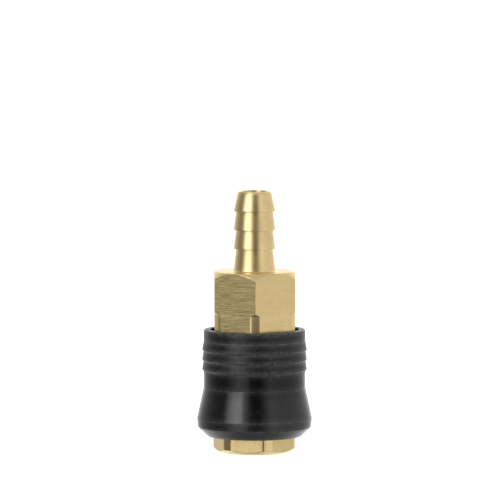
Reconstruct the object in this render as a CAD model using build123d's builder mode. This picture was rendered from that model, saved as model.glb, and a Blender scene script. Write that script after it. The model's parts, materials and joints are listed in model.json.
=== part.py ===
from build123d import *
import os
from math import atan, cos, radians, sqrt, tan

os.makedirs("parts", exist_ok=True)

# Quick disconnect coupler with a hose barb, in millimetres.
# The axis is Z: the mouth that takes the plug is at z = 0 and the barb points up.

# Clearances
running_gap = 0.05  # radial, between pieces that slide or turn on each other
stop_gap = 0.05  # axial, between faces that meet at a stop
touch_gap = 0.03  # between a ball and the surfaces that hold it
fixed_gap = 0.02  # radial, between pieces that stay together
sleeve_body_gap = 0.125  # radial, between the grip sleeve and the rear body

# Bores of the front body, from the nose of the plug outwards
nose_bore_r = 5.1  # bore round the plug's nose, where the balls come through
throat_step = 0.25
mouth_step = 0.85
mouth_lead = 0.7  # chamfer at the way in
mouth_bore_depth = 5.0
throat_lead = 0.43
throat_h = 1.57
seal_groove_step = 1.2
seal_groove_h = 2.4
seal_lip = 0.35  # how far the nose seal stands into the bore
seal_lip_lead = 1.05
seal_lip_back = 0.7
seat_step = 1.1
seat_land = 1.6
valve_chamber_step = 1.4
guide_step = 0.4

# Outside of the front body
mouth_flats = 19.0  # across the flats of the front hexagon
mouth_round_d = 20.65  # round bar that the hexagon is cut on
mouth_hex_h = 3.85
mouth_turn = -12.1  # degrees, the front hexagon turned against the rear one
flange_h = 1.75
mouth_nose = 1.425  # radial width of the chamfer at the mouth
mouth_nose_h = 1.0
thread_step = 0.1  # the thread's crest is this much smaller than the stem
thread_pitch = 1.0
thread_depth = 0.55
thread_relief = 0.1

# Locking balls and sleeve travel
ball_r = 1.75
ball_count = 6
ball_travel = 0.9
ball_proud = 0.1  # how far the locked balls stand out of the stem
ball_seat_angle = 20.0
ball_hole_spare = 0.4  # how far the cutter of a ball hole runs past the wall
ball_to_seal = 2.45
sleeve_travel = 3.6
cone_spare = 0.55

# Locking ring, washers and sleeve spring
ring_nose_gap = 0.125  # the ring's nose is this much smaller than the flange
ring_nose_h = 3.1
ring_head_catch = 0.9  # how far the ring's head stands into the grip sleeve
ring_guide_h = 2.5
washer_t = 0.8
washer_gap = 0.45  # radial, between the washers and the grip sleeve
seat_washer_t = 0.6
sleeve_wire = 1.1
sleeve_turns = 5.0
sleeve_coil_gap = 0.7  # radial, between the spring and the stem

# Rear body
rear_flats = 20.0
rear_turn = 30  # degrees, so that corners point along Y
corner_left = 0.925  # what the turned-down corners leave outside the flats
corner_spare = 0.1  # how far the turning profile clears the hexagon's corners
rear_runout = 0.7
runout_gap = 0.45  # the grip sleeve stops this far short of the run-out
rear_hex_h = 9.8
rear_top_step = 0.1  # the top face's circle is this much inside the flats
o_ring_cord_d = 1.0
gland_spare = 0.3
gland_to_thread = 1.2
air_bore_r = 3.2
rear_chamber_r = 5.2
rear_chamber_h = 2.8

# Hose barb
barb_foot_r = 5.25
barb_crest_r = 5.17
barb_root_r = 4.62
barb_land = 0.35
barb_foot_h = 5.5
barb_pitch = 4.7
barb_count = 3
barb_tip_h = 5.0
barb_tip_r = 4.35
barb_tip_round = 0.4
barb_tip_round_h = 0.8

# Valve
poppet_step = 0.6  # the poppet's head is this much larger than its seat
poppet_h = 2.2
poppet_nose_step = 0.5
poppet_nose_wall = 1.2
poppet_nose_h = 2.1
poppet_slot = 1.6
poppet_chamfer = 0.4
poppet_stem_r = 2.0
face_seal_t = 0.8
valve_travel = 3.0
valve_wire = 0.6
valve_turns = 4.5
valve_coil_gap = 1.0  # radial, between the valve spring and the poppet's stem
valve_spring_spare = 1.15
guide_t = 1.6
guide_hub_wall = 0.85
guide_hole_r = 0.85
guide_hole_count = 8
clip_wire_r = 0.4
clip_arc = 300
stem_end_h = 2.1  # front body beyond the clip

# Grip sleeve: radii as walls outside its bores, heights above its front edge
grip_overlap = 1.7  # how far the sleeve's front edge stands past the flange
mouth_gap = 0.975  # radial, between the flange and the sleeve
front_wall = 0.45
shoulder_wall = 2.15
flare_wall = 2.37
waist_wall = 1.64
band_wall = 1.6
rib_root_wall = 1.67
rib_crest_wall = 2.0
shoulder_h = 2.3
flare_h = 4.45
waist_h = 12.1
first_rib_h = 16.7
rib_pitch = 2.45
rib_count = 3
rib_step = 0.45
band_h = 23.8
grip_h = 26.65
grip_rim_round = 0.5
grip_rim_chamfer = 0.15

# Radii worked out from the sizes above
throat_r = nose_bore_r + throat_step
mouth_bore_r = throat_r + mouth_step
mouth_r = mouth_round_d / 2
ball_locked_r = nose_bore_r - ball_travel + ball_r
stem_r = ball_locked_r + ball_r - ball_proud
ring_bore_r = stem_r + running_gap
cone_angle = atan(ball_travel / sleeve_travel)
seal_groove_r = nose_bore_r + seal_groove_step
seat_r = nose_bore_r - seat_step
valve_chamber_r = seat_r + valve_chamber_step
guide_chamber_r = valve_chamber_r + guide_step
poppet_r = seat_r + poppet_step
poppet_nose_r = seat_r - poppet_nose_step
valve_coil_r = poppet_stem_r + valve_coil_gap + valve_wire / 2
thread_r = stem_r - thread_step
gland_r = stem_r + o_ring_cord_d
sleeve_coil_r = ring_bore_r + sleeve_coil_gap + sleeve_wire / 2
rear_turned_r = rear_flats / 2 + corner_left
rear_corner_r = rear_flats / sqrt(3) + corner_spare
rear_top_r = rear_flats / 2 - rear_top_step
grip_bore_r = rear_turned_r + sleeve_body_gap
washer_r = grip_bore_r - washer_gap
ring_head_r = grip_bore_r + ring_head_catch
pocket_r = ring_head_r + running_gap
grip_mouth_r = mouth_r + mouth_gap
ring_nose_r = mouth_r - ring_nose_gap

# Heights worked out from the sizes above, from the mouth up
flange_top = mouth_hex_h + flange_h
ring_low = flange_top + stop_gap
ring_step_z = ring_low + ring_nose_h
ball_z = ring_low + sleeve_travel + cone_spare
cone_at_ball = ball_locked_r + (ball_r + touch_gap) / cos(cone_angle)
cone_low_r = cone_at_ball + (ball_z - ring_low) * tan(cone_angle)
cone_top_z = ball_z + (cone_at_ball - ring_bore_r) / tan(cone_angle)
ring_top = cone_top_z + ring_guide_h
washer_top = ring_top + washer_t
throat_z = mouth_bore_depth + throat_lead
throat_top = throat_z + throat_h
seal_groove_z = ball_z + ball_r + ball_to_seal
seal_groove_top = seal_groove_z + seal_groove_h
seat_z = seal_groove_top + seat_land
face_seal_z = seat_z + stop_gap
face_seal_top = face_seal_z + face_seal_t
poppet_top = face_seal_top + poppet_h
guide_z = poppet_top + valve_wire * (valve_turns + 1) + valve_travel + valve_spring_spare
guide_top = guide_z + guide_t
clip_z = guide_top + clip_wire_r
front_end_z = clip_z + clip_wire_r + stem_end_h
# At the end of its travel the sleeve spring's coils close on each other.
seat_washer_low = washer_top + sleeve_wire * (sleeve_turns + 1) + sleeve_travel
rear_low_z = seat_washer_low + seat_washer_t
gland_h = o_ring_cord_d + gland_spare
thread_z = rear_low_z + gland_h + gland_to_thread
socket_top = front_end_z + fixed_gap
grip_low_z = flange_top - grip_overlap
grip_top_z = grip_low_z + grip_h
rear_turned_top = grip_top_z + sleeve_travel + runout_gap
rear_runout_z = rear_turned_top + rear_runout
rear_top = rear_runout_z + rear_hex_h
barb_first_z = rear_top + barb_foot_h
barb_end_z = barb_first_z + (barb_count - 1) * barb_pitch + barb_tip_h


def turned(points):
    """Closed half section in the XZ plane, as (radius, height) points, outline only."""
    return Polyline(*points, close=True)


def thread_rings(crest_r):
    """Section points of the thread's teeth, from its foot up, with crests at crest_r."""
    points = []
    for tooth in range(int((front_end_z - thread_z) / thread_pitch)):
        foot = thread_z + tooth * thread_pitch
        points.append((crest_r - thread_depth, foot))
        points.append((crest_r, foot + thread_pitch / 2))
    return points


# Cutter for one ball hole, along +X: a straight bore that narrows to a seat
with BuildPart() as ball_hole:
    hole_r = ball_r + running_gap
    seat_slope = tan(radians(ball_seat_angle))
    seat_mid_r = (ball_r + touch_gap) / cos(radians(ball_seat_angle))
    seat_start = ball_locked_r - (seat_mid_r - hole_r) / seat_slope
    seat_end = nose_bore_r - ball_hole_spare
    seat_end_r = seat_mid_r - (ball_locked_r - seat_end) * seat_slope
    with BuildSketch(Plane.XZ):
        with BuildLine():
            Polyline(
                (seat_end, 0),
                (seat_end, seat_end_r),
                (seat_start, hole_r),
                (stem_r + ball_hole_spare, hole_r),
                (stem_r + ball_hole_spare, 0),
                close=True,
            )
        make_face()
    revolve(axis=Axis.X)

# Front body: mouth, stem with the ball holes, seal groove, valve seat and male thread
with BuildPart() as front_body:
    with BuildSketch():
        RegularPolygon(mouth_flats / 2, 6, major_radius=False, rotation=mouth_turn)
    extrude(amount=mouth_hex_h)
    with BuildSketch(Plane.XY.offset(mouth_hex_h)):
        Circle(mouth_r)
    extrude(amount=flange_h)
    with BuildSketch(Plane.XZ):
        with BuildLine():
            turned(
                [
                    (0, 0),
                    (mouth_r - mouth_nose, 0),
                    (mouth_r, mouth_nose_h),
                    (mouth_r, flange_top),
                    (0, flange_top),
                ]
            )
        make_face()
    revolve(mode=Mode.INTERSECT)
    with BuildSketch(Plane.XZ):
        with BuildLine():
            turned(
                [(0, flange_top), (stem_r, flange_top), (stem_r, thread_z - thread_relief)]
                + thread_rings(thread_r)
                + [(thread_r - thread_depth, front_end_z), (0, front_end_z)]
            )
        make_face()
    revolve()
    with BuildSketch(Plane.XZ):
        with BuildLine():
            turned(
                [
                    (0, 0),
                    (mouth_bore_r + mouth_lead, 0),
                    (mouth_bore_r, mouth_lead),
                    (mouth_bore_r, mouth_bore_depth),
                    (throat_r, throat_z),
                    (throat_r, throat_top),
                    (nose_bore_r, throat_top + throat_step),
                    (nose_bore_r, seal_groove_z),
                    (seal_groove_r, seal_groove_z),
                    (seal_groove_r, seal_groove_top),
                    (seat_r, seal_groove_top),
                    (seat_r, seat_z),
                    (valve_chamber_r, seat_z),
                    (valve_chamber_r, guide_z),
                    (guide_chamber_r, guide_z),
                    (guide_chamber_r, front_end_z),
                    (0, front_end_z),
                ]
            )
        make_face()
    revolve(mode=Mode.SUBTRACT)
    with BuildSketch(Plane.XZ):
        with Locations((guide_chamber_r, clip_z)):
            Circle(clip_wire_r + fixed_gap)
    revolve(mode=Mode.SUBTRACT)
    with Locations((0, 0, ball_z)):
        with PolarLocations(0, ball_count):
            add(ball_hole.part, mode=Mode.SUBTRACT)

# Rear body: hexagon with turned-down corners, threaded socket, air bore and hose barb
with BuildPart() as rear_body:
    with BuildSketch(Plane.XY.offset(rear_low_z)):
        RegularPolygon(rear_flats / 2, 6, major_radius=False, rotation=rear_turn)
    extrude(amount=rear_top - rear_low_z)
    with BuildSketch(Plane.XZ):
        with BuildLine():
            turned(
                [
                    (0, rear_low_z),
                    (rear_turned_r, rear_low_z),
                    (rear_turned_r, rear_turned_top),
                    (rear_turned_r + rear_runout, rear_runout_z),
                    (rear_corner_r, rear_runout_z),
                    (rear_corner_r, rear_top - rear_corner_r + rear_top_r),
                    (rear_top_r, rear_top),
                    (0, rear_top),
                ]
            )
        make_face()
    revolve(mode=Mode.INTERSECT)
    barb_points = [(0, rear_low_z), (barb_foot_r, rear_low_z), (barb_foot_r, rear_top)]
    for barb in range(barb_count):
        step_z = barb_first_z + barb * barb_pitch
        barb_points.append((barb_root_r, step_z))
        barb_points.append((barb_crest_r, step_z))
        barb_points.append((barb_crest_r, step_z + barb_land))
    barb_points.append((barb_tip_r, barb_end_z - barb_tip_round_h))
    barb_points.append((barb_tip_r - barb_tip_round, barb_end_z))
    barb_points.append((0, barb_end_z))
    with BuildSketch(Plane.XZ):
        with BuildLine():
            turned(barb_points)
        make_face()
    revolve()
    with BuildSketch(Plane.XZ):
        with BuildLine():
            turned(
                [
                    (0, rear_low_z),
                    (gland_r, rear_low_z),
                    (gland_r, rear_low_z + gland_h),
                    (stem_r + running_gap, rear_low_z + gland_h),
                    (stem_r + running_gap, thread_z - thread_relief),
                ]
                + thread_rings(thread_r + running_gap)
                + [
                    (thread_r + running_gap, front_end_z - thread_relief),
                    (thread_r + running_gap, socket_top),
                    (rear_chamber_r, socket_top),
                    (air_bore_r, socket_top + rear_chamber_h),
                    (air_bore_r, barb_end_z),
                    (0, barb_end_z),
                ]
            )
        make_face()
    revolve(mode=Mode.SUBTRACT)

# O-ring between the front body's stem and the rear body
with BuildPart() as body_o_ring:
    with BuildSketch(Plane.XZ):
        with Locations(((gland_r + stem_r) / 2, rear_low_z + gland_h / 2)):
            Circle(o_ring_cord_d / 2 - fixed_gap)
    revolve()

# Washer that closes the O-ring's gland and takes the sleeve spring
with BuildPart() as spring_seat_washer:
    with BuildSketch(Plane.XY.offset(seat_washer_low)):
        Circle(washer_r)
        Circle(ring_bore_r, mode=Mode.SUBTRACT)
    extrude(amount=seat_washer_t)

# Lip seal round the plug's nose, in its groove
with BuildPart() as nose_seal:
    lip_r = nose_bore_r - seal_lip
    with BuildSketch(Plane.XZ):
        with BuildLine():
            turned(
                [
                    (seal_groove_r, seal_groove_z),
                    (seal_groove_r, seal_groove_top),
                    (nose_bore_r, seal_groove_top),
                    (lip_r, seal_groove_top - seal_lip_back),
                    (lip_r, seal_groove_z + seal_lip_lead),
                    (nose_bore_r, seal_groove_z),
                ]
            )
        make_face()
    revolve()

# Valve guide: a plate with a hub for the poppet's stem and a ring of air holes
with BuildPart() as valve_guide:
    guide_hub_r = poppet_stem_r + guide_hub_wall
    guide_hole_ring_r = (guide_hub_r + valve_chamber_r) / 2
    with BuildSketch(Plane.XY.offset(guide_z)):
        Circle(guide_chamber_r - fixed_gap)
        Circle(poppet_stem_r + running_gap, mode=Mode.SUBTRACT)
        with PolarLocations(guide_hole_ring_r, guide_hole_count):
            Circle(guide_hole_r, mode=Mode.SUBTRACT)
    extrude(amount=guide_t)
    with BuildSketch(Plane.XY.offset(guide_top)):
        Circle(guide_hub_r)
        Circle(poppet_stem_r + running_gap, mode=Mode.SUBTRACT)
    extrude(amount=guide_t)

# Open wire clip that keeps the valve guide on its shoulder
with BuildPart() as guide_clip:
    with BuildSketch(Plane.XZ):
        with Locations((guide_chamber_r, clip_z)):
            Circle(clip_wire_r)
    revolve(revolution_arc=clip_arc)

# Valve poppet: slotted nose that the plug pushes, head, and a stem in the guide
with BuildPart() as valve_poppet:
    nose_low = face_seal_z - poppet_nose_h
    nose_bore = poppet_nose_r - poppet_nose_wall
    stem_end = guide_top + guide_t + poppet_chamfer
    slot_length = 2 * poppet_nose_r + poppet_slot
    with BuildSketch(Plane.XZ):
        with BuildLine():
            turned(
                [
                    (nose_bore, nose_low),
                    (poppet_nose_r, nose_low),
                    (poppet_nose_r, face_seal_top),
                    (poppet_r, face_seal_top),
                    (poppet_r, poppet_top - poppet_chamfer),
                    (poppet_r - poppet_chamfer, poppet_top),
                    (poppet_stem_r, poppet_top),
                    (poppet_stem_r, stem_end - poppet_chamfer),
                    (poppet_stem_r - poppet_chamfer, stem_end),
                    (0, stem_end),
                    (0, face_seal_top),
                    (nose_bore, face_seal_top),
                ]
            )
        make_face()
    revolve()
    with BuildSketch(Plane.XY.offset(nose_low)):
        Rectangle(slot_length, poppet_slot)
        Rectangle(poppet_slot, slot_length)
    extrude(amount=poppet_slot, mode=Mode.SUBTRACT)

# Rubber ring on the poppet's face, which closes on the seat
with BuildPart() as valve_seal:
    with BuildSketch(Plane.XY.offset(face_seal_z)):
        Circle(poppet_r)
        Circle(poppet_nose_r, mode=Mode.SUBTRACT)
    extrude(amount=face_seal_t)


# Springs: round wire along a helix, drawn clear of the faces that they press on
spring_sizes = {
    "sleeve": (sleeve_wire, sleeve_coil_r, sleeve_turns, washer_top, seat_washer_low),
    "valve": (valve_wire, valve_coil_r, valve_turns, poppet_top, guide_z),
}
springs = {}
for spring_name, (wire, coil_r, turns, low, high) in spring_sizes.items():
    with BuildPart() as spring:
        first = low + wire / 2 + stop_gap
        rise = high - low - wire - 2 * stop_gap
        with BuildLine() as coil:
            Helix(rise / turns, rise, coil_r, center=(0, 0, first))
        with BuildSketch(Plane(coil.line @ 0, z_dir=coil.line % 0)):
            Circle(wire / 2)
        sweep(path=coil.line, is_frenet=True)
    springs[spring_name] = spring.part

# Locking ring: cone inside that pushes the balls in, and a head that carries the sleeve
with BuildPart() as locking_ring:
    with BuildSketch(Plane.XZ):
        with BuildLine():
            turned(
                [
                    (cone_low_r, ring_low),
                    (ring_nose_r, ring_low),
                    (ring_nose_r, ring_step_z),
                    (ring_head_r, ring_step_z),
                    (ring_head_r, ring_top),
                    (ring_bore_r, ring_top),
                    (ring_bore_r, cone_top_z),
                ]
            )
        make_face()
    revolve()

# Thrust washer between the locking ring and the sleeve spring
with BuildPart() as thrust_washer:
    with BuildSketch(Plane.XY.offset(ring_top)):
        Circle(washer_r)
        Circle(ring_bore_r, mode=Mode.SUBTRACT)
    extrude(amount=washer_t)

# Locking balls, in the locked place, one node each
balls = []
for ball_number in range(ball_count):
    with BuildPart() as ball:
        with Locations((0, 0, ball_z)):
            with PolarLocations(ball_locked_r, 1, start_angle=ball_number * 360 / ball_count):
                Sphere(ball_r)
    balls.append(ball.part)

# Grip sleeve: plastic shell, flared at the mouth, with three saw-tooth ribs
with BuildPart() as grip_sleeve:
    rib_points = []
    first_rib_z = grip_low_z + first_rib_h
    waist_r = grip_bore_r + waist_wall
    band_r = grip_bore_r + band_wall
    for rib in range(rib_count):
        crest_z = first_rib_z + rib * rib_pitch
        rib_points.append((grip_bore_r + rib_root_wall, crest_z - rib_step))
        rib_points.append((grip_bore_r + rib_crest_wall, crest_z))
    pocket_low = ring_step_z - stop_gap
    pocket_top = ring_top + stop_gap
    with BuildSketch(Plane.XZ):
        with BuildLine():
            turned(
                [
                    (grip_mouth_r, grip_low_z),
                    (grip_mouth_r + front_wall, grip_low_z),
                    (pocket_r + shoulder_wall, grip_low_z + shoulder_h),
                    (pocket_r + flare_wall, grip_low_z + flare_h),
                    (waist_r, grip_low_z + waist_h),
                    (waist_r, first_rib_z - rib_step),
                ]
                + rib_points
                + [
                    (band_r, grip_low_z + band_h),
                    (band_r, grip_top_z - grip_rim_round),
                    (band_r - grip_rim_round, grip_top_z),
                    (grip_bore_r + grip_rim_chamfer, grip_top_z),
                    (grip_bore_r, grip_top_z - grip_rim_chamfer),
                    (grip_bore_r, pocket_top),
                    (pocket_r, pocket_top),
                    (pocket_r, pocket_low),
                    (grip_mouth_r, pocket_low),
                ]
            )
        make_face()
    revolve()

pieces = {
    "front_body": front_body.part,
    "rear_body": rear_body.part,
    "body_o_ring": body_o_ring.part,
    "spring_seat_washer": spring_seat_washer.part,
    "nose_seal": nose_seal.part,
    "valve_guide": valve_guide.part,
    "guide_clip": guide_clip.part,
    "valve_poppet": valve_poppet.part,
    "valve_seal": valve_seal.part,
    "valve_spring": springs["valve"],
    "locking_ring": locking_ring.part,
    "thrust_washer": thrust_washer.part,
    "sleeve_spring": springs["sleeve"],
    "grip_sleeve": grip_sleeve.part,
}
for ball_number, ball_part in enumerate(balls):
    pieces[f"locking_ball_{ball_number + 1}"] = ball_part

for piece_name, piece in pieces.items():
    piece.label = piece_name
    export_step(piece, f"parts/{piece_name}.step")
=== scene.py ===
import json
from math import atan2, ceil, cos, hypot, pi, radians, sin, sqrt, tan

import bmesh
import bpy
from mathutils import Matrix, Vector


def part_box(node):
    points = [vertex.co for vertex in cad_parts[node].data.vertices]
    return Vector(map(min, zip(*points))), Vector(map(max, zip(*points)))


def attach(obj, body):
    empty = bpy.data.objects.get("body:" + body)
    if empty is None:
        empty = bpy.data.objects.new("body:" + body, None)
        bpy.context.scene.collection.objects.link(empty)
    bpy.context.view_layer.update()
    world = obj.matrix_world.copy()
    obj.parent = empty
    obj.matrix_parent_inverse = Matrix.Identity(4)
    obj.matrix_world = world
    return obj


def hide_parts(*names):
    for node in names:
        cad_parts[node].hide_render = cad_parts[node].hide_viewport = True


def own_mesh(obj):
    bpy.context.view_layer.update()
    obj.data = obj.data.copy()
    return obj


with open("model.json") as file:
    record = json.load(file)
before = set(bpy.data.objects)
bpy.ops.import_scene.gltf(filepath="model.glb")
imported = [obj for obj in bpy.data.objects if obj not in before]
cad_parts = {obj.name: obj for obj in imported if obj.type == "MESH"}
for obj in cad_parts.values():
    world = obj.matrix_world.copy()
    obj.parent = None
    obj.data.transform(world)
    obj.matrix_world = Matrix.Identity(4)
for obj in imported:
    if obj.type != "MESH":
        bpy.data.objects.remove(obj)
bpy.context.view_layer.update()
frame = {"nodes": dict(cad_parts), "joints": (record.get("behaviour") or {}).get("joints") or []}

MM = 0.001
joints = {joint["name"]: joint for joint in frame["joints"]}


def travel(joint):
    """Furthest way along a sliding joint, in millimetres."""
    return joints[joint]["range_m"][1] / MM


# ---------------------------------------------------------------- sizes from the frame


def span(node):
    """Lowest height, highest height and outer radius of a round CAD node, in millimetres."""
    low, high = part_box(node)
    return low.z / MM, high.z / MM, high.x / MM


front_low, front_end, front_r = span("front_body")
rear_low, barb_end, rear_half_flats = span("rear_body")
grip_low, grip_top, grip_r = span("grip_sleeve")
ring_low, ring_top, ring_head_r = span("locking_ring")
washer_low, washer_top, washer_r = span("thrust_washer")
seat_low, seat_top, _ = span("spring_seat_washer")
groove_low, groove_top, groove_r = span("nose_seal")
face_low, face_top, face_r = span("valve_seal")
guide_low, _, guide_r = span("valve_guide")
clip_low, clip_top, clip_r = span("guide_clip")
ball_low, ball_high, ball_reach = span("locking_ball_1")
ball_r = (ball_high - ball_low) / 2
ball_z = (ball_high + ball_low) / 2

STOP_GAP = 0.05
FIT_GAP = 0.02

# How finely round pieces are cut; column steps are (degrees from a corner, degrees between columns)
ROUND_COLUMNS = 288
COLUMN_STEPS = ((1.6, 0.2), (8.5, 0.4), (31.0, 2.0))
ARC_STEP = radians(16)
PLAIN_RUN = 1.5
FINE_RUN = 0.05
LEAST_SLANT = 0.02
SHARPEST_EDGE = 32

# How a milled flat meets the turned surface round it
HEX_CORNER_ROUNDING = 0.09
MILL_ROUNDING = 0.1
MILL_FADE = 0.05
MILL_REACH = 0.3

# Front body
FLANGE_TOP = ring_low - STOP_GAP
FLANGE_H = 1.75
FRONT_HEX_TOP = FLANGE_TOP - FLANGE_H
FRONT_FLATS = 19.0
FRONT_FLAT_ANGLE = radians(17.9)
FRONT_FLAT_FINISHES = (0.5, 0.8, 0.6, 0.6, 0.9, 0.5)
STEM_R = 7.6
NOSE_BORE_R = 5.1
THROAT_R = 5.35
MOUTH_BORE_R = 6.2
MOUTH_CHAMFER = 0.7
MOUTH_BORE_TOP = 5.0
THROAT_LOW = 5.43
THROAT_TOP = 7.0
NOSE_BORE_LOW = 7.25
SEAT_R = 4.0
VALVE_CHAMBER_R = 5.4
THREAD_PITCH = 1.0
THREAD_DEPTH = 0.55
THREAD_R = 7.5
THREAD_FOOT = 0.1
BALL_COUNT = 6

# Rear body
REAR_FLATS = 2 * rear_half_flats
# Each rear flat's finish sets its roughness and how far its colour darkens: the left-facing flat gets the
# most, which paints shade on it, and the right-facing flat gets the least.
REAR_FLAT_FINISH_AND_SHADE = (0.55, 0.9, 0.2, 0.7, 1.0, 0.12)
TURNED_R = 10.925
TURNED_TOP = grip_top + travel("sleeve_slide") + 0.45
RUNOUT = 0.7
RUNOUT_TOP = TURNED_TOP + RUNOUT
HEX_TOP = RUNOUT_TOP + 9.8
NECK_R = 5.25
BARB_COUNT = 3
BARB_PITCH = 4.7
BARB_FIRST = HEX_TOP + 5.5
BARB_ROOT_R = 4.62
BARB_CREST_R = 5.17
BARB_LAND = 0.35
TIP_R = 3.95
GLAND_R = 8.6
GLAND_TOP = rear_low + 1.3
THREAD_LOW = GLAND_TOP + 1.2
AIR_BORE_R = 3.2

# Grip sleeve
GRIP_BORE_R = TURNED_R + 0.125
WAIST_R = GRIP_BORE_R + 1.64
BAND_R = GRIP_BORE_R + 1.6
RIB_COUNT = 3
RIB_PITCH = 2.45
RIB_RISE = 0.45
FIRST_RIB = grip_low + 16.7

# Locking ring
RING_R = front_r - 0.125
RING_HEAD_LOW = ring_low + 3.1
CONE_TOP = ring_top - 2.5
CONE_SLOPE = 0.25

# Springs: rise of a closed turn, as a share of the wire
CLOSED_PITCH = 0.6


# ---------------------------------------------------------------- turned and milled shapes


def arc_points(before, corner, after, rounding):
    """Points of the arc that rounds one corner of an outline, with how worn each is."""
    corner, before, after = Vector(corner), Vector(before), Vector(after)
    back, onward = before - corner, after - corner
    half = back.angle(onward) / 2
    if rounding <= 0 or half > 0.49 * pi:
        return [(corner.x, corner.y, 0.0)]
    reach = min(rounding / tan(half), 0.45 * back.length, 0.45 * onward.length)
    radius = reach * tan(half)
    middle = (back.normalized() + onward.normalized()).normalized()
    centre = corner + middle * radius / sin(half)
    start = corner + back.normalized() * reach - centre
    end = corner + onward.normalized() * reach - centre
    first = atan2(start.y, start.x)
    turn = (atan2(end.y, end.x) - first + pi) % (2 * pi) - pi
    pieces = max(3, ceil(abs(turn) / ARC_STEP))
    points = []
    for number in range(pieces + 1):
        share = number / pieces
        angle = first + turn * share
        worn = sin(pi * share) * 0.6 + 0.4
        points.append((centre.x + radius * cos(angle), centre.y + radius * sin(angle), worn))
    return points


def outline(corners, rounding, fine_outside):
    """Closed outline from (radius, height) or (radius, height, rounding) corners.

    Slanted runs outside the radius fine_outside are cut finely, because flats cross them."""
    points = []
    for number, corner in enumerate(corners):
        before = corners[number - 1][:2]
        after = corners[(number + 1) % len(corners)][:2]
        own = corner[2] if len(corner) > 2 else rounding
        points += arc_points(before, corner[:2], after, own)
    rows = []
    for number, (radius, height, worn) in enumerate(points):
        next_radius, next_height, _ = points[(number + 1) % len(points)]
        length = hypot(next_radius - radius, next_height - height)
        slanted = abs(next_radius - radius) > LEAST_SLANT and max(radius, next_radius) > fine_outside
        pieces = max(1, ceil(length / (FINE_RUN if slanted else PLAIN_RUN)))
        for piece in range(pieces):
            share = piece / pieces
            across = radius + (next_radius - radius) * share
            up = height + (next_height - height) * share
            rows.append((across, up, worn if piece == 0 else 0.0))
    return rows


def side_distance(angle, flats, flat_angle, rounding):
    """Distance from the axis to a hexagon's side in one direction, its corners rounded."""
    off_flat = (angle - flat_angle + pi / 6) % (pi / 3) - pi / 6
    half_flats = flats / 2
    inner = (half_flats - rounding) / cos(pi / 6)
    if half_flats * tan(abs(off_flat)) <= inner * sin(pi / 6):
        return half_flats / cos(off_flat)
    off_corner = pi / 6 - abs(off_flat)
    across = inner * sin(off_corner)
    return inner * cos(off_corner) + sqrt(rounding**2 - across**2)


def soft_min(first, second, width):
    """The smaller of two values, with a rounded change from one to the other."""
    share = max(width - abs(first - second), 0) / width
    return min(first, second) - share * share * width / 4


def column_angles(flat_angle):
    """Directions of the mesh's columns: even, and closer together near a hexagon's corners."""
    if flat_angle is None:
        return [2 * pi * number / ROUND_COLUMNS for number in range(ROUND_COLUMNS)]
    half_side = 30.0
    offsets = []
    offset = -half_side
    while offset < half_side - 1e-6:
        offsets.append(offset)
        from_corner = half_side - abs(offset)
        offset += next(step for within, step in COLUMN_STEPS if from_corner < within)
    return [flat_angle + side * pi / 3 + radians(offset) for side in range(6) for offset in offsets]


def cut_by_mill(radius, height, angle, hexagon):
    """Radius that a mill leaves at one point of a turned shape, how far it cut, and its finish."""
    flats, flat_angle, low, high, finishes = hexagon
    if not low <= height <= high or radius <= flats / 2 - MILL_REACH:
        return radius, 0.0, 0.0
    side = side_distance(angle, flats, flat_angle, HEX_CORNER_ROUNDING)
    cut = min(1.0, max(0.0, (radius - side) / MILL_FADE))
    number = round((angle - flat_angle) / (pi / 3)) % 6
    return soft_min(radius, side, MILL_ROUNDING), cut, finishes[number]


def quads(rows, columns, closed=False):
    """Faces between rows of points that go round; closed joins the last row to the first."""
    faces = []
    for row in range(rows if closed else rows - 1):
        here = row * columns
        above = (row + 1) % rows * columns
        for column in range(columns):
            beside = (column + 1) % columns
            faces.append((here + column, here + beside, above + beside, above + column))
    return faces


def new_piece(name, places, faces):
    """New object in the scene, from its points and faces."""
    mesh = bpy.data.meshes.new(name)
    mesh.from_pydata(places, [], faces)
    piece = bpy.data.objects.new(name, mesh)
    bpy.context.scene.collection.objects.link(piece)
    return piece


def lathe(name, corners, rounding=0.08, hexagon=None):
    """Mesh turned about the axis from an outline in millimetres.

    hexagon is (flats, angle of a flat, lowest height, highest height, finish of each flat).
    The mesh keeps three values per point: edge, milled and finish."""
    fine_outside = hexagon[0] / 2 if hexagon else 1e9
    angles = column_angles(hexagon[1] if hexagon else None)
    rows = outline(corners, rounding, fine_outside)
    places, edges, milled, finish = [], [], [], []
    for radius, height, worn in rows:
        for angle in angles:
            reach, cut, kind = radius, 0.0, 0.0
            if hexagon:
                reach, cut, kind = cut_by_mill(radius, height, angle, hexagon)
            places.append((reach * cos(angle) * MM, reach * sin(angle) * MM, height * MM))
            edges.append(worn)
            milled.append(cut)
            finish.append(kind)
    piece = new_piece(name, places, quads(len(rows), len(angles), closed=True))
    for label, values in (("edge", edges), ("milled", milled), ("finish", finish)):
        piece.data.attributes.new(label, "FLOAT", "POINT").data.foreach_set("value", values)
    smooth(piece)
    return piece


def smooth(piece, sharpest=SHARPEST_EDGE):
    """Outward normals, and smooth shading that stops at edges sharper than that many degrees."""
    work = bmesh.new()
    work.from_mesh(piece.data)
    bmesh.ops.recalc_face_normals(work, faces=work.faces)
    work.to_mesh(piece.data)
    work.free()
    piece.data.polygons.foreach_set("use_smooth", [True] * len(piece.data.polygons))
    piece.data.set_sharp_from_angle(angle=radians(sharpest))


def thread_outline(crest_r):
    """Corners of the thread's teeth, from its foot up."""
    corners = []
    for tooth in range(int((front_end - THREAD_LOW) / THREAD_PITCH)):
        foot = THREAD_LOW + tooth * THREAD_PITCH
        corners.append((crest_r - THREAD_DEPTH, foot))
        corners.append((crest_r, foot + THREAD_PITCH / 2))
    return corners


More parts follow.
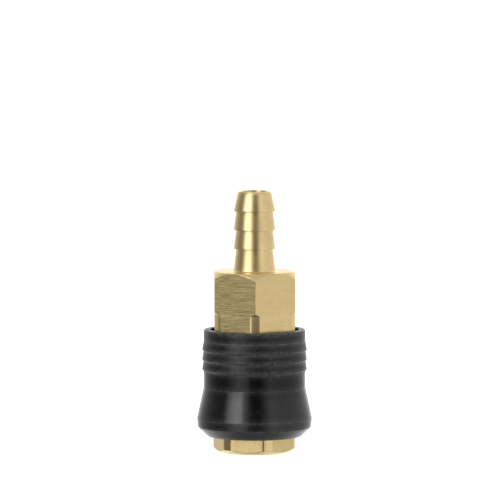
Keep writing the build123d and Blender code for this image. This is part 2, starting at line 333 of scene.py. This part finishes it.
def coil(name, node, wire, coil_r, turns):
    """Spring of round wire, with closed and ground ends, as tall as its CAD node."""
    low, high, _ = span(node)
    around, along = 14, int(turns * 48)
    closed_turns = 0.75
    closed_rise = closed_turns * wire * CLOSED_PITCH
    open_rise = high - low - wire * CLOSED_PITCH - 2 * closed_rise
    first = low + wire * CLOSED_PITCH / 2
    places = []
    for step in range(along + 1):
        turned = turns * step / along
        share = min(max((turned - closed_turns) / (turns - 2 * closed_turns), 0.0), 1.0)
        start = min(turned, closed_turns) * wire * CLOSED_PITCH
        finish = max(turned - (turns - closed_turns), 0.0) * wire * CLOSED_PITCH
        middle_z = first + start + open_rise * share + finish
        angle = 2 * pi * turned
        for point in range(around):
            side = 2 * pi * point / around
            radius = coil_r + wire / 2 * cos(side)
            height = min(max(middle_z + wire / 2 * sin(side), low), high)
            places.append((radius * cos(angle) * MM, radius * sin(angle) * MM, height * MM))
    faces = quads(along + 1, around)
    faces.append(tuple(range(around)))
    faces.append(tuple(along * around + point for point in reversed(range(around))))
    piece = new_piece(name, places, faces)
    smooth(piece, 50)
    return piece


# ---------------------------------------------------------------- shader node groups


def add(tree, kind, **settings):
    """New node in a tree, with its settings."""
    made = tree.nodes.new(kind)
    for key, value in settings.items():
        setattr(made, key, value)
    return made


def feed(tree, socket, value):
    """Sets an input socket to a number, or links it to an output socket."""
    if isinstance(value, (int, float)):
        socket.default_value = value
    else:
        tree.links.new(value, socket)


def maths(tree, operation, first, second=None, third=None):
    """Math node; each input is a number or an output socket. Returns its output."""
    made = add(tree, "ShaderNodeMath", operation=operation)
    for slot, value in enumerate((first, second, third)):
        if value is not None:
            feed(tree, made.inputs[slot], value)
    return made.outputs[0]


def ramp(tree, value, low, high, to_low=0.0, to_high=1.0):
    """Value mapped from one range to another, held at its ends."""
    made = add(tree, "ShaderNodeMapRange")
    made.inputs["From Min"].default_value = low
    made.inputs["From Max"].default_value = high
    made.inputs["To Min"].default_value = to_low
    made.inputs["To Max"].default_value = to_high
    tree.links.new(value, made.inputs["Value"])
    return made.outputs["Result"]


def blended(tree, share, first, second):
    """Value mixed from first to second, which are numbers or output sockets."""
    made = add(tree, "ShaderNodeMix")
    tree.links.new(share, made.inputs[0])
    feed(tree, made.inputs[2], first)
    feed(tree, made.inputs[3], second)
    return made.outputs[0]


def mix_colour(tree, share, first, second):
    """Colour mixed from first to second; colours are triples or output sockets."""
    made = add(tree, "ShaderNodeMix", data_type="RGBA")
    tree.links.new(share, made.inputs["Factor"])
    for socket, colour in ((made.inputs[6], first), (made.inputs[7], second)):
        if isinstance(colour, tuple):
            socket.default_value = (*colour, 1)
        else:
            tree.links.new(colour, socket)
    return made.outputs[2]


def noise(tree, vector, scale, detail=3.0, rough=0.55):
    """Noise texture over a vector. Returns its value output."""
    made = add(tree, "ShaderNodeTexNoise")
    made.inputs["Scale"].default_value = scale
    made.inputs["Detail"].default_value = detail
    made.inputs["Roughness"].default_value = rough
    tree.links.new(vector, made.inputs["Vector"])
    return made.outputs["Fac"]


def group(name, inputs, outputs):
    """Empty node group with named value sockets; returns the tree, its input and its output."""
    tree = bpy.data.node_groups.new(name, "ShaderNodeTree")
    for label, value in inputs:
        socket = tree.interface.new_socket(label, in_out="INPUT", socket_type="NodeSocketFloat")
        socket.default_value = value
    for label in outputs:
        tree.interface.new_socket(label, in_out="OUTPUT", socket_type="NodeSocketFloat")
    return tree, add(tree, "NodeGroupInput"), add(tree, "NodeGroupOutput")


def place(tree, shared, **values):
    """Puts a node group in a tree, with its own input values."""
    made = add(tree, "ShaderNodeGroup", node_tree=shared)
    for label, value in values.items():
        feed(tree, made.inputs[label.replace("_", " ")], value)
    return made


def millimetres(tree):
    """Where the surface is, in millimetres: east, north and height."""
    coordinates = add(tree, "ShaderNodeTexCoord")
    parts = add(tree, "ShaderNodeSeparateXYZ")
    tree.links.new(coordinates.outputs["Object"], parts.inputs[0])
    return [maths(tree, "MULTIPLY", part, 1 / MM) for part in parts.outputs]


def off_axis(tree, east, north):
    """Distance from the axis, in millimetres."""
    squares = maths(tree, "ADD", maths(tree, "POWER", east, 2.0), maths(tree, "POWER", north, 2.0))
    return maths(tree, "SQRT", squares)


def joined(tree, first, second, third=0.0):
    """Vector from three values."""
    made = add(tree, "ShaderNodeCombineXYZ")
    for slot, value in enumerate((first, second, third)):
        feed(tree, made.inputs[slot], value)
    return made.outputs[0]


def scaled_place(tree, solid, per_mm):
    """Vector stretched by a value."""
    scaled = add(tree, "ShaderNodeVectorMath", operation="SCALE")
    tree.links.new(solid, scaled.inputs[0])
    tree.links.new(per_mm, scaled.inputs["Scale"])
    return scaled.outputs[0]


def lathe_marks_group():
    """Fine rings that a lathe tool leaves, round the axis."""
    tree, given, made = group("lathe_marks", [("Marks per mm", 6.0), ("Waver", 0.15)], ["Height"])
    east, north, height = millimetres(tree)
    along = maths(tree, "ADD", height, maths(tree, "MULTIPLY", off_axis(tree, east, north), 1.37))
    waver = noise(tree, joined(tree, east, north, height), 0.35, 2.0)
    shifted = maths(tree, "MULTIPLY_ADD", waver, given.outputs["Waver"], along)
    scaled = maths(tree, "MULTIPLY", shifted, given.outputs["Marks per mm"])
    coarse = noise(tree, joined(tree, 0.0, 0.0, scaled), 0.31, 2.0)
    fine = noise(tree, joined(tree, 0.0, 3.0, scaled), 1.0, 3.0, 0.7)
    both = maths(tree, "ADD", maths(tree, "MULTIPLY", coarse, 0.45), maths(tree, "MULTIPLY", fine, 0.55))
    tree.links.new(both, made.inputs["Height"])
    return tree


def scratches_group():
    """Long parallel scratches on milled flats, round the axis or along it."""
    inputs = [("Across per mm", 7.0), ("Along per mm", 0.35), ("Upright", 0.0)]
    tree, given, made = group("flat_scratches", inputs, ["Height", "Deep"])
    east, north, height = millimetres(tree)
    around = maths(tree, "MULTIPLY", maths(tree, "ARCTAN2", north, east), off_axis(tree, east, north))
    upright = given.outputs["Upright"]
    across = blended(tree, upright, height, around)
    along = blended(tree, upright, around, height)
    drift = noise(tree, joined(tree, along, across), 0.25, 1.0)
    across = maths(tree, "MULTIPLY_ADD", drift, 0.25, across)
    across = maths(tree, "MULTIPLY", across, given.outputs["Across per mm"])
    along = maths(tree, "MULTIPLY", along, given.outputs["Along per mm"])
    fine = noise(tree, joined(tree, along, across), 1.0, 4.0, 0.72)
    long_marks = noise(tree, joined(tree, maths(tree, "MULTIPLY", along, 0.3), across, 9.0), 0.45, 2.0)
    both = maths(tree, "ADD", maths(tree, "MULTIPLY", fine, 0.65), maths(tree, "MULTIPLY", long_marks, 0.35))
    tree.links.new(both, made.inputs["Height"])
    tree.links.new(ramp(tree, fine, 0.4, 0.54, 1.0, 0.0), made.inputs["Deep"])
    return tree


def handling_group():
    """Cloudy marks from handling: finger smudges and slight tarnish."""
    tree, given, made = group("handling_marks", [("Patches per mm", 0.25)], ["Smudge", "Speck"])
    solid = joined(tree, *millimetres(tree))
    cloud = noise(tree, scaled_place(tree, solid, given.outputs["Patches per mm"]), 1.0, 5.0, 0.6)
    tree.links.new(ramp(tree, cloud, 0.35, 0.68), made.inputs["Smudge"])
    specks = noise(tree, solid, 2.6, 2.0, 0.5)
    tree.links.new(ramp(tree, specks, 0.66, 0.74), made.inputs["Speck"])
    return tree


def worn_edge_group():
    """Where an edge is rubbed bright: the mesh's own edge value, broken up. The grip sleeve also uses it to
    paint highlights on its rib crests.
    """
    tree, given, made = group("worn_edge", [("Amount", 1.0)], ["Worn"])
    edge = add(tree, "ShaderNodeAttribute", attribute_name="edge")
    broken = ramp(tree, noise(tree, joined(tree, *millimetres(tree)), 1.1, 4.0), 0.38, 0.62, 0.35, 1.0)
    worn = maths(tree, "MULTIPLY", edge.outputs["Fac"], broken)
    worn = maths(tree, "MULTIPLY", worn, given.outputs["Amount"])
    tree.links.new(worn, made.inputs["Worn"])
    return tree


def grain_group():
    """Fine moulded grain, with a few raised specks."""
    tree, given, made = group("moulded_grain", [("Grains per mm", 6.0)], ["Height", "Speck"])
    solid = joined(tree, *millimetres(tree))
    scaled = scaled_place(tree, solid, given.outputs["Grains per mm"])
    grain = noise(tree, scaled, 1.0, 3.0, 0.6)
    cells = add(tree, "ShaderNodeTexVoronoi")
    cells.inputs["Scale"].default_value = 0.8
    tree.links.new(scaled, cells.inputs["Vector"])
    speck = ramp(tree, cells.outputs["Distance"], 0.12, 0.3, 1.0, 0.0)
    both = maths(tree, "ADD", grain, maths(tree, "MULTIPLY", speck, 0.5))
    tree.links.new(both, made.inputs["Height"])
    tree.links.new(speck, made.inputs["Speck"])
    return tree


lathe_marks = lathe_marks_group()
flat_scratches = scratches_group()
handling_marks = handling_group()
worn_edge = worn_edge_group()
moulded_grain = grain_group()


# ---------------------------------------------------------------- materials


def shaded(name, **plain):
    """Material with a Principled BSDF; plain values go straight on its sockets."""
    made = bpy.data.materials.new(name)
    made.use_nodes = True
    tree = made.node_tree
    tree.nodes.clear()
    shader = add(tree, "ShaderNodeBsdfPrincipled")
    surface = add(tree, "ShaderNodeOutputMaterial")
    tree.links.new(shader.outputs[0], surface.inputs[0])
    for label, value in plain.items():
        shader.inputs[label.replace("_", " ")].default_value = value
    return made, tree, shader


def bumped(tree, shader, height, distance, strength=1.0):
    """Feeds a height, in millimetres at 1, to the shader's normal."""
    bump = add(tree, "ShaderNodeBump")
    bump.inputs["Strength"].default_value = strength
    bump.inputs["Distance"].default_value = distance * MM
    tree.links.new(height, bump.inputs["Height"])
    tree.links.new(bump.outputs[0], shader.inputs["Normal"])


def brass(name, upright, turned_rough, flat_rough, mark_depth, dulled_and_shaded):
    """Brass that is turned all round and milled on its flats.

    upright is 1 where the mill ran along the axis; the last argument is how much coarse flats darken: partly
    real coarse milling, partly painted shade on the flats given the coarsest finish."""
    made, tree, shader = shaded(name, Metallic=1.0)
    milled = add(tree, "ShaderNodeAttribute", attribute_name="milled").outputs["Fac"]
    finish = add(tree, "ShaderNodeAttribute", attribute_name="finish").outputs["Fac"]
    rings = place(tree, lathe_marks, Marks_per_mm=7.0, Waver=0.1).outputs["Height"]
    scratches = place(tree, flat_scratches, Upright=upright, Across_per_mm=7.5, Along_per_mm=0.18)
    handled = place(tree, handling_marks, Patches_per_mm=0.22)
    worn = place(tree, worn_edge, Amount=0.8).outputs["Worn"]

    coarse = maths(tree, "MULTIPLY", milled, finish)
    streak = maths(tree, "MULTIPLY", scratches.outputs["Deep"], coarse)
    clean, dull = (0.82, 0.632, 0.305), (0.70, 0.53, 0.24)
    colour = mix_colour(tree, maths(tree, "MULTIPLY", handled.outputs["Smudge"], 0.45), clean, dull)
    # Coarse flats get a darker colour: partly real coarse milling, partly painted shade on the rear
    # hexagon's left-facing flat.
    colour = mix_colour(tree, maths(tree, "MULTIPLY", coarse, dulled_and_shaded), colour, (0.42, 0.33, 0.165))
    colour = mix_colour(tree, maths(tree, "MULTIPLY", streak, dulled_and_shaded), colour, (0.11, 0.08, 0.035))
    colour = mix_colour(tree, maths(tree, "MULTIPLY", worn, 0.5), colour, (0.95, 0.80, 0.50))
    speck = maths(tree, "MULTIPLY", handled.outputs["Speck"], 0.25)
    colour = mix_colour(tree, speck, colour, (0.30, 0.21, 0.10))
    tree.links.new(colour, shader.inputs["Base Color"])

    turned = maths(tree, "MULTIPLY_ADD", handled.outputs["Smudge"], 0.08, turned_rough)
    turned = maths(tree, "MULTIPLY_ADD", rings, 0.06, turned)
    flat = maths(tree, "MULTIPLY_ADD", finish, 0.10, flat_rough)
    flat = maths(tree, "MULTIPLY_ADD", handled.outputs["Smudge"], 0.07, flat)
    tree.links.new(blended(tree, milled, turned, flat), shader.inputs["Roughness"])

    deep = maths(tree, "MULTIPLY_ADD", coarse, 0.85, 0.15)
    marks = maths(tree, "MULTIPLY", maths(tree, "MULTIPLY", scratches.outputs["Height"], deep), milled)
    level = maths(tree, "SUBTRACT", 1.0, milled)
    ring_height = maths(tree, "MULTIPLY", maths(tree, "MULTIPLY", rings, level), 0.16)
    bumped(tree, shader, maths(tree, "ADD", marks, ring_height), mark_depth)
    return made


def steel(name, colour, rough, marks_per_mm, depth):
    """Machined steel with tool marks and slight handling marks."""
    made, tree, shader = shaded(name, Metallic=1.0)
    rings = place(tree, lathe_marks, Marks_per_mm=marks_per_mm, Waver=0.1).outputs["Height"]
    handled = place(tree, handling_marks, Patches_per_mm=0.4)
    darker = tuple(channel * 0.7 for channel in colour)
    tint = mix_colour(tree, handled.outputs["Smudge"], colour, darker)
    tree.links.new(tint, shader.inputs["Base Color"])
    varied = maths(tree, "MULTIPLY_ADD", handled.outputs["Smudge"], 0.1, rough)
    tree.links.new(maths(tree, "MULTIPLY_ADD", rings, 0.06, varied), shader.inputs["Roughness"])
    bumped(tree, shader, rings, depth)
    return made


def grip_plastic():
    """Black moulded plastic: shiny on the flare, duller above it, greyer on rubbed edges, which also paints
    a highlight along each rib crest.
    """
    ribs_low, ribs_high = grip_low + 15.6, grip_low + 16.2
    waist_low, waist_high = grip_low + 9.5, grip_low + 12.5
    made, tree, shader = shaded("grip_plastic")
    grain = place(tree, moulded_grain, Grains_per_mm=5.0)
    handled = place(tree, handling_marks, Patches_per_mm=0.16)
    worn = place(tree, worn_edge, Amount=0.7).outputs["Worn"]
    colour = mix_colour(tree, handled.outputs["Smudge"], (0.0012, 0.0012, 0.0013), (0.0035, 0.0035, 0.0036))
    lift = maths(tree, "MULTIPLY", grain.outputs["Speck"], 0.12)
    colour = mix_colour(tree, lift, colour, (0.12, 0.12, 0.12))
    height = millimetres(tree)[2]
    ribbed = ramp(tree, height, ribs_low, ribs_high)
    above_flare = ramp(tree, height, waist_low, waist_high)
    waisted = maths(tree, "SUBTRACT", above_flare, ribbed)
    # Grey on the edges, made stronger on the ribs: partly real rubbing, partly painted highlight along the
    # rib crests.
    rubbed_and_highlit = maths(tree, "MULTIPLY", worn, maths(tree, "MULTIPLY_ADD", ribbed, 0.35, 0.5))
    colour = mix_colour(tree, rubbed_and_highlit, colour, (0.13, 0.13, 0.132))
    tree.links.new(colour, shader.inputs["Base Color"])
    gloss = maths(tree, "MULTIPLY_ADD", ribbed, -0.16, 0.5)
    gloss = maths(tree, "MULTIPLY_ADD", waisted, -0.2, gloss)
    tree.links.new(gloss, shader.inputs["Specular IOR Level"])
    rough = maths(tree, "MULTIPLY_ADD", ribbed, 0.2, 0.15)
    rough = maths(tree, "MULTIPLY_ADD", handled.outputs["Smudge"], 0.07, rough)
    rough = maths(tree, "MULTIPLY_ADD", grain.outputs["Speck"], 0.12, rough)
    tree.links.new(rough, shader.inputs["Roughness"])
    coarser = maths(tree, "MULTIPLY_ADD", ribbed, 0.6, 0.4)
    bumped(tree, shader, maths(tree, "MULTIPLY", grain.outputs["Height"], coarser), 0.014)
    return made


def seal_rubber():
    """Black nitrile rubber, moulded smooth and slightly oily."""
    made, tree, shader = shaded("seal_rubber", Coat_Weight=0.25, Coat_Roughness=0.2)
    grain = place(tree, moulded_grain, Grains_per_mm=4.0)
    handled = place(tree, handling_marks, Patches_per_mm=0.5)
    colour = mix_colour(tree, handled.outputs["Smudge"], (0.010, 0.010, 0.011), (0.022, 0.021, 0.020))
    tree.links.new(colour, shader.inputs["Base Color"])
    rough = maths(tree, "MULTIPLY_ADD", handled.outputs["Smudge"], 0.18, 0.26)
    tree.links.new(rough, shader.inputs["Roughness"])
    bumped(tree, shader, grain.outputs["Height"], 0.006)
    return made


materials = {
    "barb_brass": brass("barb_brass", 0.0, 0.27, 0.2, 0.055, 0.8),
    "turned_brass": brass("turned_brass", 1.0, 0.18, 0.2, 0.04, 0.22),
    "guide_brass": brass("guide_brass", 0.0, 0.24, 0.3, 0.03, 0.3),
    "ring_steel": steel("ring_steel", (0.42, 0.42, 0.43), 0.26, 5.0, 0.008),
    "washer_steel": steel("washer_steel", (0.58, 0.59, 0.60), 0.32, 3.0, 0.004),
    "spring_steel": steel("spring_steel", (0.46, 0.46, 0.45), 0.28, 9.0, 0.003),
    "ball_steel": steel("ball_steel", (0.72, 0.73, 0.75), 0.06, 2.0, 0.0004),
    "seal_rubber": seal_rubber(),
    "grip_plastic": grip_plastic(),
}


def finish_piece(piece, slot, body, *nodes):
    """Gives a new piece its material, its body and the CAD nodes that it stands for."""
    piece.data.materials.clear()
    piece.data.materials.append(materials[slot])
    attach(piece, body)
    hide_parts(*nodes)
    return piece


# ---------------------------------------------------------------- grip sleeve


def make_grip_shell():
    """Plastic sleeve: flared shoulder, waist, three saw-tooth ribs and a plain band."""
    pocket_r = ring_head_r + STOP_GAP
    mouth_r = front_r + 0.975
    ledge = ring_low + 3.05
    ribs = []
    for rib in range(RIB_COUNT):
        crest = FIRST_RIB + rib * RIB_PITCH
        ribs.append((GRIP_BORE_R + 1.67, crest - RIB_RISE, 0.12))
        ribs.append((GRIP_BORE_R + 2.0, crest, 0.1))
    corners = [
        (mouth_r, grip_low, 0.12),
        (mouth_r + 0.45, grip_low, 0.15),
        (pocket_r + 2.15, grip_low + 2.3, 0.35),
        (grip_r, grip_low + 4.45, 0.9),
        (WAIST_R, grip_low + 12.1, 0.8),
        (WAIST_R, FIRST_RIB - RIB_RISE, 0.1),
        *ribs[1:],
        (BAND_R, grip_low + 23.8, 1.2),
        (BAND_R, grip_top, 0.42),
        (GRIP_BORE_R, grip_top, 0.16),
        (GRIP_BORE_R, ring_top + STOP_GAP),
        (pocket_r, ring_top + STOP_GAP),
        (pocket_r, ledge),
        (mouth_r, ledge),
    ]
    return lathe("grip_shell", corners)


# ---------------------------------------------------------------- rear body with the hose barb


def make_rear_fitting():
    """Hexagon with turned-down corners below, and a barbed hose tail above."""
    corner_r = REAR_FLATS / sqrt(3) + 0.1
    top_r = REAR_FLATS / 2 - 0.1
    thread_r = THREAD_R + STOP_GAP
    stem_socket_r = STEM_R + STOP_GAP
    barbs = []
    for barb in range(BARB_COUNT):
        step = BARB_FIRST + barb * BARB_PITCH
        barbs.append((BARB_ROOT_R, step, 0.06))
        barbs.append((BARB_CREST_R, step, 0.05))
        barbs.append((BARB_CREST_R, step + BARB_LAND, 0.1))
    corners = [
        (GLAND_R, rear_low),
        (TURNED_R, rear_low, 0.2),
        (TURNED_R, TURNED_TOP, 0.3),
        (TURNED_R + RUNOUT, RUNOUT_TOP, 0.05),
        (corner_r, RUNOUT_TOP, 0.0),
        (corner_r, HEX_TOP - corner_r + top_r, 0.0),
        (top_r, HEX_TOP, 0.06),
        (NECK_R, HEX_TOP, 0.32),
        *barbs,
        (4.42, barb_end - 1.35, 0.05),
        (4.37, barb_end - 1.28, 0.05),
        (4.33, barb_end - 0.75, 0.2),
        (TIP_R, barb_end, 0.14),
        (AIR_BORE_R, barb_end, 0.12),
        (AIR_BORE_R, front_end + 2.82),
        (AIR_BORE_R + 2.0, front_end + FIT_GAP),
        (thread_r, front_end + FIT_GAP),
        *reversed(thread_outline(thread_r)),
        (stem_socket_r, THREAD_LOW - THREAD_FOOT),
        (stem_socket_r, GLAND_TOP),
        (GLAND_R, GLAND_TOP),
    ]
    hexagon = (REAR_FLATS, 0.0, rear_low, HEX_TOP - 0.001, REAR_FLAT_FINISH_AND_SHADE)
    return lathe("rear_fitting", corners, 0.05, hexagon)


# ---------------------------------------------------------------- front body with the mouth


def make_ball_cutter(number):
    """Radial hole for one ball: straight, then narrowing to a seat at the bore."""
    seat_share, seat_depth = 0.86, 0.26
    hole = ball_r + STOP_GAP
    profile = [
        (NOSE_BORE_R - 0.5, seat_share * ball_r),
        (ball_reach - ball_r - seat_depth, hole),
        (STEM_R + 1.0, hole),
    ]
    angle = number * 2 * pi / BALL_COUNT
    outward = Vector((cos(angle), sin(angle), 0))
    sideways = Vector((-sin(angle), cos(angle), 0))
    places, around = [], 48
    for along, radius in profile:
        for point in range(around):
            turn = 2 * pi * point / around
            spot = outward * along + sideways * radius * cos(turn)
            places.append((spot.x * MM, spot.y * MM, (ball_z + radius * sin(turn)) * MM))
    faces = quads(len(profile), around)
    faces.append(tuple(reversed(range(around))))
    faces.append(tuple((len(profile) - 1) * around + point for point in range(around)))
    cutter = new_piece("ball_cutter", places, faces)
    smooth(cutter)
    return cutter


def make_mouth_body():
    """Hexagon and flange at the mouth, bores for the plug, stem with its ball holes."""
    corners = [
        (MOUTH_BORE_R + MOUTH_CHAMFER, front_low, 0.06),
        (front_r - 1.425, front_low, 0.12),
        (front_r, front_low + 1.0, 0.15),
        (front_r, FRONT_HEX_TOP, 0.0),
        (front_r, FRONT_HEX_TOP + 0.004, 0.0),
        (front_r, FLANGE_TOP, 0.1),
        (STEM_R, FLANGE_TOP),
        (STEM_R, THREAD_LOW - THREAD_FOOT),
        *thread_outline(THREAD_R),
        (THREAD_R - THREAD_DEPTH, front_end, 0.1),
        (guide_r + FIT_GAP, front_end),
        (guide_r + FIT_GAP, clip_top + FIT_GAP, 0.0),
        (clip_r, (clip_low + clip_top) / 2, 0.3),
        (guide_r + FIT_GAP, clip_low - FIT_GAP, 0.0),
        (guide_r + FIT_GAP, guide_low),
        (VALVE_CHAMBER_R, guide_low),
        (VALVE_CHAMBER_R, face_low - STOP_GAP),
        (SEAT_R, face_low - STOP_GAP),
        (SEAT_R, groove_top),
        (groove_r, groove_top),
        (groove_r, groove_low),
        (NOSE_BORE_R, groove_low),
        (NOSE_BORE_R, NOSE_BORE_LOW, 0.03),
        (THROAT_R, THROAT_TOP, 0.03),
        (THROAT_R, THROAT_LOW, 0.05),
        (MOUTH_BORE_R, MOUTH_BORE_TOP, 0.08),
        (MOUTH_BORE_R, front_low + MOUTH_CHAMFER, 0.06),
    ]
    hexagon = (FRONT_FLATS, FRONT_FLAT_ANGLE, front_low, FRONT_HEX_TOP + 0.002, FRONT_FLAT_FINISHES)
    body = lathe("mouth_body", corners, 0.05, hexagon)
    for number in range(BALL_COUNT):
        cutter = make_ball_cutter(number)
        cut = body.modifiers.new("ball_hole", "BOOLEAN")
        cut.operation = "DIFFERENCE"
        cut.solver = "EXACT"
        cut.object = cutter
        graph = bpy.context.evaluated_depsgraph_get()
        body.data = bpy.data.meshes.new_from_object(body.evaluated_get(graph))
        body.modifiers.clear()
        bpy.data.objects.remove(cutter)
    body.data.set_sharp_from_angle(angle=radians(SHARPEST_EDGE))
    return body


# ---------------------------------------------------------------- small turned parts


def make_small_parts():
    """Locking ring, both washers, lip seal and face seal, with their edges broken."""
    bore = STEM_R + STOP_GAP
    ring = lathe(
        "coned_ring",
        [
            (bore + (CONE_TOP - ring_low) * CONE_SLOPE, ring_low, 0.1),
            (RING_R, ring_low, 0.15),
            (RING_R, RING_HEAD_LOW, 0.1),
            (ring_head_r, RING_HEAD_LOW, 0.2),
            (ring_head_r, ring_top, 0.2),
            (bore, ring_top, 0.15),
            (bore, CONE_TOP, 0.1),
        ],
    )
    finish_piece(ring, "ring_steel", "lock_ring", "locking_ring")
    for name, node, low, high, body in (
        ("spring_washer", "thrust_washer", washer_low, washer_top, "lock_ring"),
        ("gland_washer", "spring_seat_washer", seat_low, seat_top, "coupler_body"),
    ):
        corners = [(bore, low), (washer_r, low, 0.2), (washer_r, high, 0.2), (bore, high)]
        finish_piece(lathe(name, corners), "washer_steel", body, node)
    lip_r = NOSE_BORE_R - 0.35
    root_r = NOSE_BORE_R + 0.05
    lip = lathe(
        "lip_seal",
        [
            (groove_r, groove_low, 0.15),
            (groove_r, groove_top, 0.15),
            (root_r, groove_top, 0.1),
            (lip_r, groove_top - 0.8, 0.3),
            (lip_r, groove_low + 1.0, 0.3),
            (root_r, groove_low, 0.1),
        ],
    )
    finish_piece(lip, "seal_rubber", "coupler_body", "nose_seal")
    inner_r = face_r - 1.1
    face = lathe(
        "face_seal",
        [
            (face_r, face_low, 0.2),
            (face_r, face_top, 0.1),
            (inner_r, face_top, 0.05),
            (inner_r, face_low, 0.2),
        ],
    )
    finish_piece(face, "seal_rubber", "valve", "valve_seal")


def make_springs():
    """Both springs, each as tall as its CAD node."""
    springs = (
        ("sleeve_coil", "sleeve_spring", 1.1, 8.9, 6.0, "sleeve_slide", seat_low),
        ("valve_coil", "valve_spring", 0.6, 3.3, 6.5, "valve_slide", guide_low),
    )
    for name, node, wire, coil_r, turns, joint, fixed_end in springs:
        piece = coil(name, node, wire, coil_r, turns)
        finish_piece(piece, "spring_steel", "coupler_body", node)
        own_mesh(piece)


finish_piece(make_grip_shell(), "grip_plastic", "grip", "grip_sleeve")
finish_piece(make_rear_fitting(), "barb_brass", "coupler_body", "rear_body")
finish_piece(make_mouth_body(), "turned_brass", "coupler_body", "front_body")
make_small_parts()
make_springs()

carried_over = {
    "valve_poppet": "guide_brass",
    "valve_guide": "guide_brass",
    "guide_clip": "spring_steel",
    "body_o_ring": "seal_rubber",
}
for number in range(BALL_COUNT):
    carried_over[f"locking_ball_{number + 1}"] = "ball_steel"
for node, slot in carried_over.items():
    mesh = frame["nodes"][node].data
    mesh.materials.clear()
    mesh.materials.append(materials[slot])


# ---------------------------------------------------------------- studio


def make_floor():
    """Large, plain, pale floor."""
    half, depth = 6.0, -0.0001
    corners = [(-half, -half, depth), (half, -half, depth), (half, half, depth), (-half, half, depth)]
    floor = new_piece("floor", corners, [(0, 1, 2, 3)])
    made, _, shader = shaded("floor_white", Roughness=0.9, Specular_IOR_Level=0.0, Emission_Strength=0.75)
    shader.inputs["Base Color"].default_value = (0.86, 0.86, 0.86, 1)
    shader.inputs["Emission Color"].default_value = (1, 1, 1, 1)
    floor.data.materials.append(made)
    floor.visible_glossy = False


def around_room(tree, turn, stops):
    """Brightness round the studio, from (degrees to the right of the front, brightness) stops."""
    made = add(tree, "ShaderNodeValToRGB")
    tree.links.new(ramp(tree, turn, -180, 180), made.inputs[0])
    brightest = max(value for _, value in stops)
    band = made.color_ramp
    for number, (degrees, value) in enumerate(stops):
        at = (degrees + 180) / 360
        stop = band.elements[number] if number < 2 else band.elements.new(at)
        stop.position = at
        stop.color = (value / brightest, value / brightest, value / brightest, 1)
    return maths(tree, "MULTIPLY", made.outputs[0], brightest)


def make_studio_light():
    """Tall strip light on the left, wide panel on the right, black card between, pale room."""
    world = bpy.data.worlds.new("studio")
    bpy.context.scene.world = world
    world.use_nodes = True
    tree = world.node_tree
    tree.nodes.clear()
    coordinates = add(tree, "ShaderNodeTexCoord")
    parts = add(tree, "ShaderNodeSeparateXYZ")
    tree.links.new(coordinates.outputs["Generated"], parts.inputs[0])
    toward_front = maths(tree, "MULTIPLY", parts.outputs[1], -1.0)
    bearing = maths(tree, "ARCTAN2", parts.outputs[0], toward_front)
    turn = maths(tree, "MULTIPLY", bearing, 180 / pi)
    rise = parts.outputs[2]
    room = [
        (-180, 1.4), (-155, 1.1), (-138, 0.70), (-120, 0.48), (-95, 0.22), (-75, 0.12),
        (-60, 0.18), (-50, 0.50), (-34, 1.1), (-19, 1.0), (-11, 0.12), (-3, 0.04),
        (12, 0.04), (20, 0.35), (34, 1.05), (60, 0.82), (105, 0.76), (140, 0.95),
        (165, 1.5), (180, 1.4),
    ]
    strip = [(-180, 0.0), (-66, 0.0), (-60, 1.7), (-46, 2.9), (-30, 2.9), (-25, 0.0), (180, 0.0)]
    walls = around_room(tree, turn, room)
    above = ramp(tree, rise, -0.04, 0.2, 0.12, 1.0)
    strip_light = maths(tree, "MULTIPLY", around_room(tree, turn, strip), above)
    level = maths(tree, "ADD", walls, strip_light)
    overhead = 0.66
    level = blended(tree, ramp(tree, rise, 0.55, 0.85), level, overhead)
    table = ramp(tree, toward_front, -0.75, -0.05, 1.2, 0.32)
    level = blended(tree, ramp(tree, rise, -0.3, -0.65), level, table)
    lit = add(tree, "ShaderNodeBackground")
    lit.inputs[0].default_value = (1, 1, 1, 1)
    tree.links.new(level, lit.inputs[1])
    seen = add(tree, "ShaderNodeBackground")
    seen.inputs[0].default_value = (1, 1, 1, 1)
    path = add(tree, "ShaderNodeLightPath")
    both = add(tree, "ShaderNodeMixShader")
    tree.links.new(path.outputs["Is Camera Ray"], both.inputs[0])
    tree.links.new(lit.outputs[0], both.inputs[1])
    tree.links.new(seen.outputs[0], both.inputs[2])
    surface = add(tree, "ShaderNodeOutputWorld")
    tree.links.new(both.outputs[0], surface.inputs[0])


def make_camera():
    """Long lens, a little above the coupler, a degree to the left of its front corner."""
    distance, height, turn = 1.70, 0.197, radians(1.1)
    place_at = Vector((-distance * sin(turn), -distance * cos(turn), height))
    aim = Vector((-0.00113, 0, 0.0503))
    data = bpy.data.cameras.new("camera")
    data.lens = 494
    data.clip_start = 0.05
    data.clip_end = 30
    camera = bpy.data.objects.new("camera", data)
    bpy.context.scene.collection.objects.link(camera)
    camera.location = place_at
    camera.rotation_euler = (aim - place_at).to_track_quat("-Z", "Y").to_euler()
    bpy.context.scene.camera = camera


make_floor()
make_studio_light()
make_camera()
bpy.context.scene.view_settings.view_transform = "Standard"
